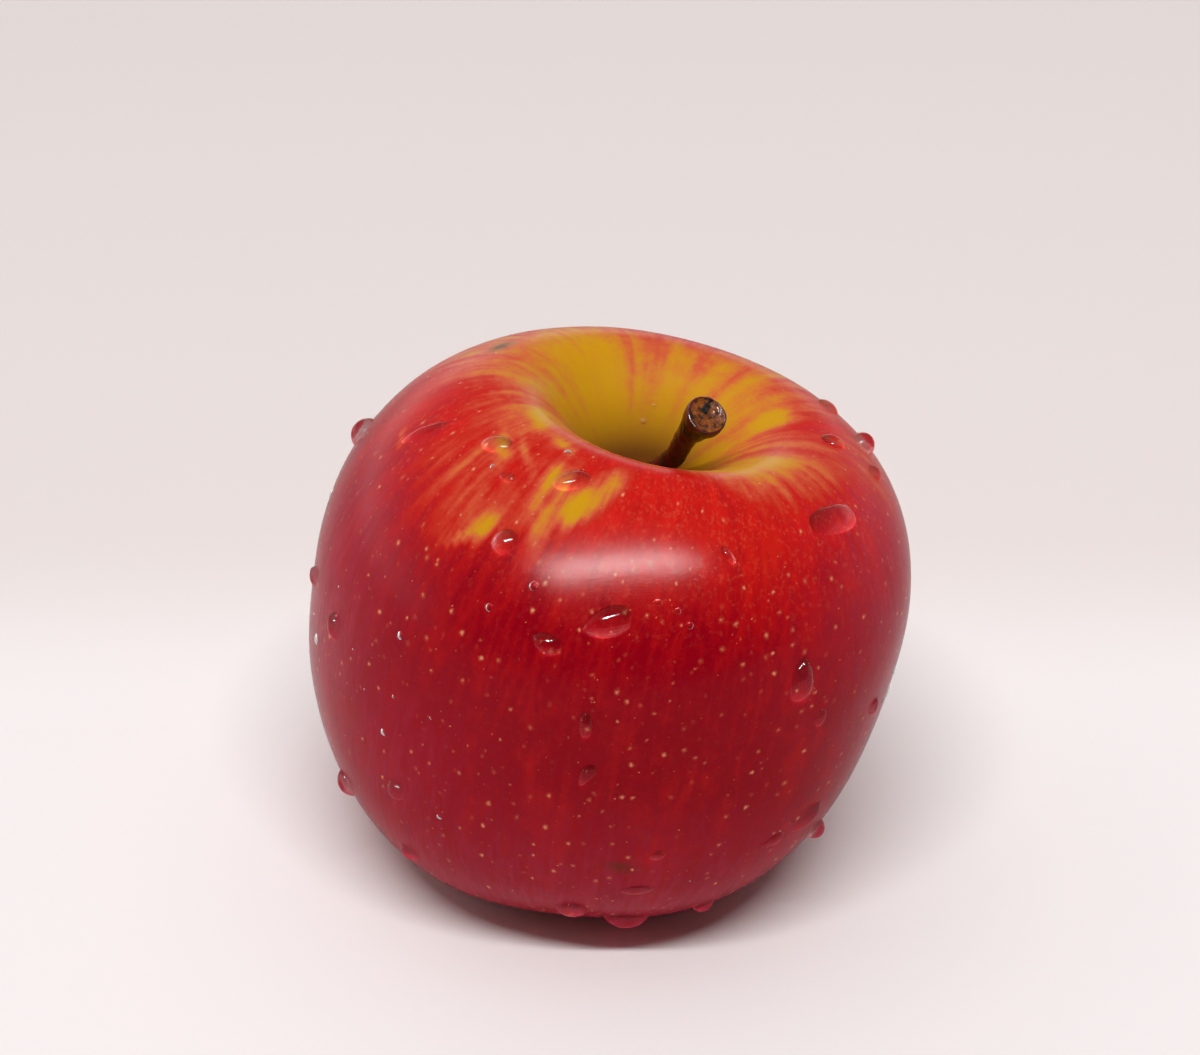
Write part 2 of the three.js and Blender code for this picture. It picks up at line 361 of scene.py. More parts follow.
@dataclass(frozen=True)
class SkinMark:
    """A soft-edged mark: its place in degrees, its half length and half width in mm, and its turn.

    The turn is the angle of its length away from the meridian, towards rising azimuth.
    """

    azimuth: float
    polar: float
    length: float
    width: float
    turn: float
    strength: float
    tone: Tone = Tone.GROUND

    def weight(self, azimuth: np.ndarray, polar: np.ndarray, radius: float) -> np.ndarray:
        """How strongly the mark shows at each place.

        Args:
            azimuth: azimuths in degrees.
            polar: polar angles in degrees.
            radius: mm of arc to a radian on the skin.

        Returns:
            From 0 to the mark's strength.
        """
        east = (azimuth - self.azimuth + 180) % 360 - 180
        around = np.radians(east) * radius * math.sin(math.radians(self.polar))
        down = np.radians(polar - self.polar) * radius
        cos, sin = math.cos(math.radians(self.turn)), math.sin(math.radians(self.turn))
        along = (down * cos + around * sin) / self.length
        across = (around * cos - down * sin) / self.width
        return self.strength * np.exp(-(along**2) - across**2)


BLUSH_START = 0.3  # blush amounts where it begins to show, where it is full, and the most there is
BLUSH_FULL = 0.9
MOST_BLUSH = 1.2

MARKS = (
    # the amber patch with its tail, and the yellow patch that runs up to the rim
    SkinMark(-129.5, 57.3, 2.3, 1.5, -40, 0.75),
    SkinMark(-133.5, 61.5, 1.6, 0.5, -40, 0.5),
    SkinMark(-111.5, 48.3, 2.6, 1.6, -32, 1.0),
    SkinMark(-106.0, 41.5, 4.2, 1.7, -24, 0.55),
    SkinMark(-120.0, 44.0, 2.4, 1.8, 50, 0.45),
    # orange flecks on the left shoulder
    SkinMark(-142.5, 43.8, 2.2, 1.0, 60, 0.6),
    SkinMark(-135.0, 42.5, 3.2, 0.6, 62, 0.5),
    SkinMark(-170.5, 57.4, 1.8, 0.7, 70, 0.55),
    SkinMark(-151.0, 33.5, 3.6, 1.0, 70, 0.6),
    SkinMark(-128.0, 36.5, 3.0, 0.8, 75, 0.5),
    # pale patch and streaks on the right shoulder
    SkinMark(10.0, 30.3, 2.6, 1.6, 90, 0.8),
    SkinMark(-44.0, 33.0, 3.4, 3.0, 70, 0.45),
    SkinMark(-60.0, 29.5, 3.0, 2.0, 70, 0.5),
    # salmon streaks beside the yellow patch and right of the front
    SkinMark(-117.0, 53.5, 6.0, 1.6, 24, 0.36),
    SkinMark(-84.0, 61.0, 8.0, 2.2, 0, 0.12),
    SkinMark(-72.0, 45.0, 9.0, 4.0, 0, 0.12),
    # a warmer, thinner blush here and there round the shoulders
    SkinMark(-116.0, 49.0, 6.0, 5.0, 0, 0.2),
    SkinMark(-142.0, 54.0, 9.0, 10.0, 0, 0.27),
    SkinMark(-60.0, 52.0, 9.0, 5.0, 0, 0.18),
    SkinMark(-135.0, 44.0, 9.0, 12.0, 0, 0.24),
    SkinMark(-105.0, 38.0, 4.0, 6.0, 0, 0.06),
    SkinMark(-30.0, 40.0, 6.0, 11.0, 0, 0.2),
    SkinMark(170.0, 50.0, 9.0, 12.0, 0, 0.2),
    SkinMark(-6.0, 50.0, 8.0, 8.0, 0, 0.4),
    SkinMark(38.0, 54.0, 8.0, 12.0, 0, 0.55),
    # wide pink cheeks; the two low on the left are partly painted light reflected there from the bright
    # room and floor
    SkinMark(-168.0, 94.0, 24.0, 18.0, 0, 0.8, Tone.ROSE),
    SkinMark(-140.0, 112.0, 16.0, 16.0, 0, 0.6, Tone.ROSE),
    SkinMark(-18.0, 76.0, 34.0, 18.0, 0, 0.75, Tone.ROSE),
    SkinMark(60.0, 80.0, 22.0, 14.0, 0, 0.5, Tone.ROSE),
    # an olive spot on the far rim and a bruise low on the front
    SkinMark(151.4, 42.0, 2.2, 0.9, 80, 1.0, Tone.DARK),
    SkinMark(-83.5, 116.0, 1.6, 0.6, 90, 0.8, Tone.DARK),
)


@dataclass(frozen=True)
class WaxedSkin:
    """Apple skin: a thin cuticle of wax over cells filled with red and yellow pigment.

    It grew and was never worked, so its gloss is soft and a fine orange-peel grain breaks it up.
    """

    # from the bare ground to a thin blush, each with the blush amount at which it stands
    ground_ramp: tuple[tuple[float, str], ...] = (
        (0.0, "#CE960C"),
        (0.22, "#CE9018"),
        (0.42, "#D07A2A"),
        (0.6, "#D05A36"),
        (0.78, "#C83C28"),
        (0.95, "#C4200E"),
    )
    pit: str = "#582800"  # the ground deep in the cavity: browner, and darker as painted shade of the recess
    blush_bright: str = "#D41A0E"
    # deep red of the lower blush, which also paints shade low on the fruit
    blush_deep: str = "#900013"
    # pink of the cheeks, also used as painted light bounced up from the floor
    blush_rose: str = "#BE304A"
    fleck: str = "#D8583A"
    dark: str = "#40300F"
    pore_halo: str = "#C85A3E"
    pore_core: str = "#E8A078"
    meridian_radius: float = 38.0  # mm of arc to a radian
    stretch: Triple = (1.0, 1.0, 0.22)  # what draws the streaks out along the meridians
    streak_width: float = 2.4  # mm, as all widths, spacings and radii below
    wide_streak_width: float = 6.0  # in the cavity
    wide_streaks: float = 0.85  # share of them there
    fine_streak_width: float = 0.8
    fleck_width: float = 0.8
    mottle_width: float = 2.4
    cloud_width: float = 5.0
    swings: tuple[float, ...] = (1.3, 0.8, 0.6, 0.7)  # of streaks, mottles, clouds, fine streaks
    evening: Pair = (0.7, 1.15)  # blush amounts between which it grows even
    unevenness: Pair = (1.0, 0.16)
    covering: Pair = (0.8, 1.08)  # and between which it hides the ground
    depth: Pair = (0.22, 0.95)  # share of the deep blush above and below; the rise below is partly painted shade
    fleck_strength: Pair = (0.55, 0.06)  # above and below
    # polar angles between which each of these sets in
    cavity_band: Pair = (46.0, 30.0)
    pit_band: Pair = (28.0, 15.0)
    lower_band: Pair = (45.0, 76.0)
    pore_band: Pair = (26.0, 38.0)
    waxless_band: Pair = (33.0, 24.0)
    pore_spacing: float = 1.85
    pore_radius: float = 0.62
    speck_spacing: float = 1.25
    speck_radius: float = 0.2
    faintest_spot: float = 0.45
    pore_shake: float = 0.45  # mm by which their outlines waver
    shake_width: float = 0.58824
    peel_width: float = 0.22
    peel_height: float = 0.017
    ior: float = 1.45
    roughness: Pair = (0.175, 0.295)
    specular: float = 0.09
    coat: float = 0.08
    coat_roughness: float = 0.12
    bloom: float = 0.1  # a faint haze of wax, seen where the skin turns away
    bloom_roughness: float = 0.2
    bloom_tint: str = "#FFE0E0"
    pit_roughness: float = 0.9  # the wax never forms well in the cavity

    def arc(self, angles: Pair) -> Pair:
        """Turns two polar angles in degrees into mm along a meridian."""
        first, last = (math.radians(angle) * self.meridian_radius for angle in angles)
        return first, last

    def spots(self, add: Add, where: Node, spacing: float, radius: float) -> Node:
        """Scatters small soft spots of mixed sizes.

        Args:
            add: add_node for the skin's tree.
            where: a vector in mm that spots keep their size in.
            spacing: the size of a cell with one spot centre, in mm.
            radius: the largest spot's radius, in mm.

        Returns:
            A node whose value rises from 0 at a spot's edge to 1 at its middle.
        """
        cells = add("TexVoronoi", {"Vector": where, "Scale": 1 / spacing, "Randomness": 1.0}).outputs
        parts = add("SeparateColor", {"Color": cells["Color"]}).outputs
        most = radius / spacing
        size = add("MapRange", {"Value": parts["Red"], "To Min": most / 2, "To Max": most})
        strength = add("MapRange", {"Value": parts["Green"], "To Min": self.faintest_spot})
        fall = {"Value": cells["Distance"], "From Min": size, "From Max": 0.0, "To Max": strength}
        return add("MapRange", fall)

    def streaks(self, add: Add, drawn_out: Node, level: NodeSocket) -> Node:
        """Draws streaks along the meridians, which grow wider in the cavity.

        Args:
            add: add_node for the skin's tree.
            drawn_out: the meridian vector, drawn out along the meridians.
            level: mm along a meridian from the top of the axis.

        Returns:
            A node whose value runs from 0 to 1.
        """
        narrow = {"Scale": 1 / self.streak_width, "Detail": 2.5, "Roughness": 0.5}
        wide = {"Scale": 1 / self.wide_streak_width, "Detail": 2.5}
        inside = span(self.arc(self.cavity_band), (0.0, self.wide_streaks))
        blend = {
            "Factor": add("MapRange", {"Value": level, **inside}, **SMOOTH),
            "A": add("TexNoise", {"Vector": drawn_out, **narrow}),
            "B": add("TexNoise", {"Vector": drawn_out, **wide}),
        }
        return add("Mix", blend, data_type="FLOAT")

    def pores(self, add: Add, in_mm: Node, meridian: NodeSocket, level: NodeSocket) -> Node:
        """Scatters lenticels: corky breathing pores, drawn out towards the cavity.

        Args:
            add: add_node for the skin's tree.
            in_mm: the place in mm.
            meridian: the meridian vector.
            level: mm along a meridian from the top of the axis.

        Returns:
            A node whose value rises from 0 at a pore's edge to 1 at its middle.
        """
        jitter = add("TexNoise", {"Vector": in_mm, "Scale": 1 / self.shake_width, "Detail": 1.0})
        moved = {0: jitter.outputs["Color"], 1: (self.pore_shake,) * 3, 2: meridian}
        shaken = add("VectorMath", moved, operation="MULTIPLY_ADD")
        large = self.spots(add, shaken, self.pore_spacing, self.pore_radius)
        small = self.spots(add, shaken, self.speck_spacing, self.speck_radius)
        both = add("Math", {0: large, 1: small}, operation="MAXIMUM")
        outside_pit = add("MapRange", {"Value": level, **span(self.arc(self.pore_band))})
        return add("Math", {0: both, 1: outside_pit}, operation="MULTIPLY")

    def blush(
        self, add: Add, meridian: NodeSocket, level: NodeSocket, patterns: list[Node], rosy: Node
    ) -> Node:
        """Colours the full blush: brighter above, deeper below, and uneven.

        Args:
            add: add_node for the skin's tree.
            meridian: the meridian vector.
            level: mm along a meridian from the top of the axis.
            patterns: the streaks, mottles, clouds and fine streaks, each swinging about 0.
            rosy: how far it turns to rose, low on the fruit partly as painted light from the floor.

        Returns:
            A node with the colour.
        """
        streaky, ragged, cloudy, stringy = patterns
        # painted shade, in part: the blush deepens towards the bottom, where less light from above falls
        sinking = {"Value": level, **span(self.arc(self.lower_band), self.depth)}
        lower = add("MapRange", sinking, **SMOOTH)
        streaked = add("Math", {0: streaky, 1: 0.4, 2: lower}, operation="MULTIPLY_ADD")
        depth = add("Math", {0: ragged, 1: -0.9, 2: streaked}, operation="MULTIPLY_ADD")
        for pattern in (cloudy, stringy):
            depth = add("Math", {0: pattern, 1: depth}, operation="ADD", use_clamp=True)

        # fine flecks of a paler red, commoner towards the shoulders
        grainy = {"Vector": meridian, "Scale": 1 / self.fleck_width, "Detail": 3.0, "Roughness": 0.7}
        common = add("MapRange", {"Value": lower, **span(self.depth, self.fleck_strength)})
        picked = {"Value": add("TexNoise", grainy), **span((0.48, 0.8)), "To Max": common}
        flecks = add("MapRange", picked, **SMOOTH)
        layers = ((depth, self.blush_deep), (rosy, self.blush_rose), (flecks, self.fleck))
        return overlay(add, linear(self.blush_bright), *layers)

    def gloss(self, add: Add, level: NodeSocket, mottle: Node) -> dict:
        """Gives the wax its soft, uneven shine, which ends in the cavity.

        Args:
            add: add_node for the skin's tree.
            level: mm along a meridian from the top of the axis.
            mottle: the pattern that makes it uneven.

        Returns:
            The inputs of the shader that it sets.
        """
        least, most = self.roughness
        shine = add("MapRange", {"Value": mottle, "To Min": least, "To Max": most})
        waxless = add("MapRange", {"Value": level, **span(self.arc(self.waxless_band))}, **SMOOTH)
        dulled = {"Factor": waxless, "A": shine, "B": self.pit_roughness}
        return {
            "Roughness": add("Mix", dulled, data_type="FLOAT"),
            "Coat Weight": add("MapRange", {"Value": waxless, "To Min": self.coat, "To Max": 0.0}),
            "Coat Roughness": self.coat_roughness,
            "IOR": self.ior,
            "Specular IOR Level": self.specular,
            "Sheen Weight": self.bloom,
            "Sheen Roughness": self.bloom_roughness,
            "Sheen Tint": linear(self.bloom_tint),
        }

    def build(self) -> Material:
        """Makes the material. It reads the skin's own attributes meridian and tone."""
        material, add = new_material("waxed_apple_skin")
        in_mm = in_millimetres(add)
        meridian = add("Attribute", attribute_name="meridian").outputs["Vector"]
        level = add("SeparateXYZ", {"Vector": meridian}).outputs["Z"]
        drawn_out = add("VectorMath", {0: meridian, 1: self.stretch}, operation="MULTIPLY")
        tones = add("SeparateXYZ", {"Vector": add("Attribute", attribute_name="tone").outputs["Vector"]})
        blush_here, rose_here, dark_here = (tones.outputs[axis] for axis in "XYZ")

        # four patterns, each of which then swings about 0, by half its strength to either side
        patchy = {"Vector": in_mm, "Scale": 1 / self.mottle_width, "Detail": 6.0, "Roughness": 0.75}
        mottle = add("TexNoise", patchy)
        cloud, fine_streaks = (
            add("TexNoise", {"Vector": drawn_out, "Scale": 1 / width, "Detail": 2.0})
            for width in (self.cloud_width, self.fine_streak_width)
        )
        patterns = [
            add("Math", {0: pattern, 1: swing, 2: -swing / 2}, operation="MULTIPLY_ADD")
            for pattern, swing in zip(
                (self.streaks(add, drawn_out, level), mottle, cloud, fine_streaks), self.swings
            )
        ]

        # how much blush covers the ground: streaky and ragged where it is thin, even where it is full
        thinness = add("MapRange", {"Value": blush_here, **span(self.evening, self.unevenness)})
        uneven = add("Math", {0: patterns[0], 1: patterns[1]}, operation="ADD")
        cover = add("Math", {0: uneven, 1: thinness, 2: blush_here}, operation="MULTIPLY_ADD")
        ground = add("ValToRGB", {"Fac": cover})
        set_stops(ground, [(amount, linear(code)) for amount, code in self.ground_ramp])
        # painted shade, in part: the ground turns browner and darker deep in the cavity
        sunk = {"Value": level, **span(self.arc(self.pit_band), (0.0, 0.95))}
        ground = overlay(add, ground, (add("MapRange", sunk, **SMOOTH), self.pit))
        fibre = add("MapRange", {"Value": fine_streaks, **span((0.3, 0.7), (0.3, 1.0))})
        rosy = add("Math", {0: fibre, 1: rose_here}, operation="MULTIPLY")
        blush = self.blush(add, meridian, level, patterns, rosy)

        # blush over the ground, and on both the pores, each with a pale core in a redder halo
        covered = add("MapRange", {"Value": cover, **span(self.covering)}, **SMOOTH)
        pores = self.pores(add, in_mm, meridian, level)
        halo = add("MapRange", {"Value": pores, **span((0.0, 0.7), (0.0, 0.6))}, **SMOOTH)
        core = add("MapRange", {"Value": pores, **span((0.34, 0.95))}, **SMOOTH)
        marks = ((dark_here, self.dark), (halo, self.pore_halo), (core, self.pore_core))
        colour = overlay(add, ground, (covered, blush), *marks)

        # the pores and an orange-peel grain in relief
        rind = {"Vector": in_mm, "Scale": 1 / self.peel_width, "Detail": 2.0, "Roughness": 0.7}
        relief = {0: core, 1: 0.4, 2: add("TexNoise", rind)}
        height = add("Math", relief, operation="MULTIPLY_ADD")
        bump = add("Bump", {"Height": height, "Strength": 1.0, "Distance": self.peel_height * MM})
        skin = {"Base Color": colour, "Normal": bump, "Coat Normal": bump}
        finish_material(add, {**skin, **self.gloss(add, level, mottle)})
        return material


@dataclass
class Fruit:
    """The fruit: one smooth body, whose skin carries angles and tones for its colours."""

    axis: BentAxis = field(default_factory=BentAxis)
    finish: WaxedSkin = field(default_factory=WaxedSkin)
    levels: int = 2  # of subdivision
    swell_width: float = 11.0  # mm from one faint swelling to the next
    swell_height: float = 0.12  # mm
    # polar angles at which the blush begins and is full, for azimuths from -180 in even steps
    blush_starts: tuple[float, ...] = (
        *(24, 25, 26, 25, 26, 27, 28, 28, 28, 25, 23, 22),
        *(23, 25, 24, 28, 28, 27, 28, 31, 36, 38, 34, 27),
    )
    blush_fulls: tuple[float, ...] = (
        *(40, 40, 38, 35, 33, 32, 32, 35, 41, 42, 40, 36),
        *(31, 42, 40, 48, 46, 44, 44, 50, 56, 58, 56, 46),
    )
    basin_edge: float = 160.0  # polar angle at which the ground shows again, round the calyx
    basin_fade: float = 19.0
    basin_blush: float = 0.5  # blush amount at that edge
    pale_from: Pair = (98.0, 128.0)  # polar angles between which the blush pales to rose: partly a paler skin, partly painted light bounced up from the floor
    pale_foot: float = 0.7
    piece: Object = field(init=False, default=None)
    tree: BVHTree = field(init=False, default=None)
    places: KDTree = field(init=False, default=None)

    def build(self) -> None:
        """Makes the body, dresses it, and prepares it to be measured by other pieces."""
        self.piece = copy_of("fruit", "apple_fruit")
        subdivide(self.piece, self.levels)
        places = vertex_array(self.piece)
        swell = ripple(places, self.swell_width) * self.swell_height * MM
        places += vertex_array(self.piece, "normal") * swell[:, None]
        places[:, 2] = np.maximum(places[:, 2], 0.0)
        move_vertices(self.piece, places)
        self.write_attributes()
        finish_piece(self.piece, "apple_skin", ("fruit",), self.finish.build())
        self.tree = BVHTree.FromObject(self.piece, bpy.context.evaluated_depsgraph_get())

    def write_attributes(self) -> None:
        """Stores the meridian coordinates and the tones on the skin's vertices."""
        points = vertex_array(self.piece)
        azimuth, polar = self.axis.angles(points)
        radius = self.finish.meridian_radius
        turn = np.radians(azimuth)
        meridian = np.stack([np.cos(turn), np.sin(turn), np.radians(polar)], axis=1) * radius
        steps = np.linspace(-180, 180, len(self.blush_starts) + 1)
        start = np.interp(azimuth, steps, (*self.blush_starts, self.blush_starts[0]))
        full = np.interp(azimuth, steps, (*self.blush_fulls, self.blush_fulls[0]))
        blush = np.minimum(
            BLUSH_START + (BLUSH_FULL - BLUSH_START) * (polar - start) / (full - start),
            BLUSH_FULL * (self.basin_edge - polar) / self.basin_fade + self.basin_blush,
        )
        tones = np.zeros((len(points), 3))
        tones[:, Tone.GROUND.value] = np.clip(blush, 0, MOST_BLUSH)
        # painted light, in part: towards the bottom the skin turns paler and pinker, as if lit by the
        # bright floor
        low, lowest = self.pale_from
        tones[:, Tone.ROSE.value] = self.pale_foot * np.clip((polar - low) / (lowest - low), 0, 1)
        for mark in MARKS:
            column = mark.tone.value
            weight = mark.weight(azimuth, polar, radius)
            if mark.tone is Tone.GROUND:
                tones[:, column] -= weight
            else:
                tones[:, column] = np.maximum(tones[:, column], weight)
        for name, values in (("meridian", meridian), ("tone", tones)):
            attribute = self.piece.data.attributes.new(name, "FLOAT_VECTOR", "POINT")
            attribute.data.foreach_set("vector", values.astype(np.float32).ravel())
        self.places = KDTree(len(points))
        for index, angles in enumerate(zip(azimuth, polar)):
            self.places.insert(direction(*angles), index)
        self.places.balance()

    def spot(self, azimuth: float, polar: float) -> tuple[Vector, Vector]:
        """The skin's point at these angles, and its outward normal."""
        vertex = self.piece.data.vertices[self.places.find(direction(azimuth, polar))[1]]
        point, normal, _, _ = self.tree.find_nearest(vertex.co)
        return point, normal

    def height_over(self, point: Vector) -> tuple[Vector, Vector, float]:
        """The nearest point of the skin, its normal, and the signed height above it."""
        foot, normal, _, _ = self.tree.find_nearest(point)
        return foot, normal, (point - foot).dot(normal)


# ---- Water ----


@dataclass(frozen=True)
class Water:
    """Clear drops of water. They bend what lies below them and shine with a sharp, small glint."""

    ior: float = 1.333
    roughness: float = 0.06
    specular: float = 1.0  # a clean meniscus in strong light
    # painted caustic and shade: lamplight let through to the skin below a drop, least at its upper edge
    # and most at its downhill edge
    behind: tuple[Pair, ...] = ((0.0, 0.35), (0.35, 0.75), (0.75, 1.15), (1.0, 2.2))

    def build(self) -> Material:
        """Makes the material. It reads the drops' own attribute downhill, from 0 to 1."""
        material, add = new_material("clear_water")
        drop = {
            "Base Color": linear("#FFFFFF"),
            "Roughness": self.roughness,
            "IOR": self.ior,
            "Specular IOR Level": self.specular,
            "Transmission Weight": 1.0,
        }
        shader = add("BsdfPrincipled", drop)
        # painted caustic: shadow and diffuse rays pass straight through, dimmed at the drop's upper edge
        # and brightened at its foot
        downhill = add("Attribute", attribute_name="downhill").outputs["Fac"]
        focus = add("ValToRGB", {"Fac": downhill})
        set_stops(focus, [(place, (light, light, light, 1.0)) for place, light in self.behind])
        clear = add("BsdfTransparent", {"Color": focus})
        path = add("LightPath").outputs
        rays = {0: path["Is Shadow Ray"], 1: path["Is Diffuse Ray"]}
        straight = add("Math", rays, operation="MAXIMUM")
        mixed = add("MixShader", {"Fac": straight, 1: shader, 2: clear})
        add("OutputMaterial", {"Surface": mixed})
        return material


def write_downhill(piece: Object, places: np.ndarray, rise: Vector) -> None:
    """Stores on each vertex how far down its drop it lies.

    Args:
        piece: the drop.
        places: the places of its vertices.
        rise: the uphill direction.
    """
    up = places @ np.array(rise)
    share = (up.max() - up) / (up.max() - up.min())
    attribute = piece.data.attributes.new("downhill", "FLOAT", "POINT")
    attribute.data.foreach_set("value", share.astype(np.float32))


@dataclass
class Drops:
    """The large drops: each solid, smoothed, given an uneven outline, and set down on the skin."""

    fruit: Fruit
    material: Material
    levels: int = 2
    foot_angle: float = 42.0  # degrees that an edge bends by where a drop meets the skin
    foot_crease: float = 0.7
    sink: float = 0.12  # mm that the underside reaches into the skin
    under: float = -0.1  # cosine below which a face looks down on the skin
    resting: float = 20.0  # per cent of the vertices that rest on the skin or below it
    wobble: float = 0.07  # mm by which the outline wanders
    wobble_width: float = 2.6  # mm

    def build(self) -> None:
        """Makes one piece for each drop."""
        for node in sorted(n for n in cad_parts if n.startswith("water_drop_")):
            piece = copy_of(node, node.replace("water_", ""))
            with editing(piece, "DESELECT"):
                bpy.ops.mesh.edges_select_sharp(sharpness=math.radians(self.foot_angle))
                bpy.ops.transform.edge_crease(value=self.foot_crease)
            subdivide(piece, self.levels)
            self.set_down(piece)
            finish_piece(piece, "water", (node,), self.material)

    def set_down(self, piece: Object) -> None:
        """Warps a drop's outline and lowers it until its underside lies just inside the skin."""
        places = vertex_array(piece)
        places += wander(places, self.wobble_width) * self.wobble * MM
        found = [self.fruit.height_over(Vector(place)) for place in places]
        heights = np.array([height for _, _, height in found])
        heights -= np.percentile(heights, self.resting)
        facing = vertex_array(piece, "normal") @ np.array(found[0][1])
        heights = np.where(facing < self.under, -self.sink * MM, heights - self.sink * MM / 2)
        lowered = [foot + normal * height for (foot, normal, _), height in zip(found, heights)]
        places = np.array([tuple(place) for place in lowered])
        move_vertices(piece, places)
        _, normal, _ = self.fruit.height_over(Vector(places.mean(axis=0)))
        write_downhill(piece, places, Vector((0, 0, 1)) - normal * normal.z)


@dataclass(frozen=True)
class Bead:
    """A small bead of water: its place in degrees and its size in mm, the second figure downhill."""

    azimuth: float
    polar: float
    width: float
    length: float


BEADS = (
    Bead(-112.5, 64.0, 1.4, 1.4),
    Bead(-119.5, 69.7, 1.2, 1.2),
    Bead(-87.0, 61.7, 1.2, 0.8),
    Bead(-80.5, 65.7, 1.0, 1.0),
    Bead(-83.0, 63.5, 0.9, 0.9),
    Bead(-139.5, 48.0, 0.9, 0.9),
    Bead(-125.0, 37.9, 1.0, 1.0),
    Bead(-136.5, 82.5, 1.2, 1.2),
    Bead(-136.5, 100.7, 1.1, 1.1),
    Bead(-120.5, 113.5, 0.9, 0.9),
    Bead(-20.5, 91.4, 1.2, 1.8),
    Bead(-21.5, 97.1, 1.5, 2.7),
    Bead(-167.5, 98.9, 1.6, 1.8),
    Bead(173.0, 79.4, 1.2, 2.1),
    Bead(92.0, 22.3, 1.0, 1.0),
    Bead(86.0, 24.3, 0.8, 0.8),
)


@dataclass
class FineBeads:
    """Fine beads of water between the drops: those that stand out, and a scatter of smaller ones."""

    fruit: Fruit
    material: Material
    scattered: int = 50
    cosines: Pair = (-0.72, 0.82)  # of the polar angles between which they lie
    smallest: float = 0.25  # mm across
    largest: float = 0.6
    rarity: float = 2.5  # the higher, the fewer of them are large
    longest: float = 1.3  # times as long as wide
    segments: int = 10
    rings: int = 6
    cut: float = 0.18  # height at which a ball one unit wide is cut, to leave a low cap
    sink: float = 0.06  # how far the cap's foot is below the skin, in the same units
    flatness: float = 0.5  # how much the cap is flattened
    seed: int = 7

    def scatter(self) -> list[Bead]:
        """Draws the smaller beads, spread evenly over the skin outside the cavity and the basin."""
        draw = random.Random(self.seed)
        found = []
        for _ in range(self.scattered):
            polar = math.degrees(math.acos(draw.uniform(*self.cosines)))
            size = self.smallest + (self.largest - self.smallest) * draw.random() ** self.rarity
            azimuth = draw.uniform(-180, 180)
            found.append(Bead(azimuth, polar, size, size * draw.uniform(1, self.longest)))
        return found

    def build(self) -> None:
        """Makes all the beads as one piece."""
        bpy.ops.object.select_all(action="DESELECT")
        bpy.ops.mesh.primitive_uv_sphere_add(segments=self.segments, ring_count=self.rings, radius=0.5)
        master = bpy.context.object
        with editing(master):
            bpy.ops.mesh.bisect(plane_co=(0, 0, self.cut), plane_no=(0, 0, -1), clear_outer=True)
            bpy.ops.mesh.select_all(action="SELECT")
            bpy.ops.mesh.fill_holes()
            bpy.ops.transform.translate(value=(0, 0, -self.cut - self.sink))
        write_downhill(master, vertex_array(master), Vector((0, -1, 0)))
        beads = [self.place(master, bead) for bead in (*BEADS, *self.scatter())]
        bpy.data.objects.remove(master)
        activate(beads[0])
        for piece in beads:
            piece.select_set(True)
        bpy.ops.object.join()
        beads[0].name = "fine_beads"
        finish_piece(beads[0], "water", (), self.material)

    def place(self, master: Object, bead: Bead) -> Object:
        """Copies the master cap to a bead's place on the skin, at the bead's size."""
        point, normal = self.fruit.spot(bead.azimuth, bead.polar)
        side = normal.cross(Vector((0, 0, 1))).normalized()
        turn = Matrix((side, side.cross(normal), normal)).transposed().to_4x4()
        height = self.flatness * min(bead.width, bead.length)
        scale = Matrix.Diagonal((bead.width * MM, bead.length * MM, height * MM, 1))
        mesh = master.data.copy()
        mesh.transform(Matrix.Translation(point) @ turn @ scale)
        piece = bpy.data.objects.new("bead", mesh)
        bpy.context.scene.collection.objects.link(piece)
        return piece


# ---- Stem ----


@dataclass(frozen=True)
class Bark:
    """Bark of a fruit stalk, dried and wetted again: nearly black, with maroon where it is thin."""

    dark: str = "#1E0403"
    maroon: str = "#540A08"
    pale: str = "#5A2A20"
    stretch: Triple = (1.0, 1.0, 0.35)  # ridges run up the stalk
    ridge_width: float = 0.5  # mm
    ridge_depth: float = 0.12
    patch_width: float = 2.2222
    roughness: float = 0.38
    specular: float = 0.25
    wetness: float = 0.4
    wet_roughness: float = 0.12

    def build(self) -> Material:
        """Makes the material."""
        material, add = new_material("stem_bark")
        ridged = {"Scale": 1 / self.ridge_width, "Detail": 4.0, "Roughness": 0.65}
        ridges = add("TexNoise", {"Vector": in_millimetres(add, self.stretch), **ridged})
        patched = {"Vector": in_millimetres(add), "Scale": 1 / self.patch_width, "Detail": 3.0}
        patches = add("TexNoise", patched)
        red = add("MapRange", {"Value": patches, **span((0.36, 0.58))}, **SMOOTH)
        fleck = add("MapRange", {"Value": ridges, **span((0.66, 0.78), (0.0, 0.45))}, **SMOOTH)
        bump = add("Bump", {"Height": ridges, "Strength": 0.8, "Distance": self.ridge_depth * MM})
        bark = {
            "Base Color": overlay(add, linear(self.dark), (red, self.maroon), (fleck, self.pale)),
            "Normal": bump,
            "Roughness": self.roughness,
            "Specular IOR Level": self.specular,
            "Coat Weight": self.wetness,
            "Coat Roughness": self.wet_roughness,
        }
        finish_material(add, bark)
        return material


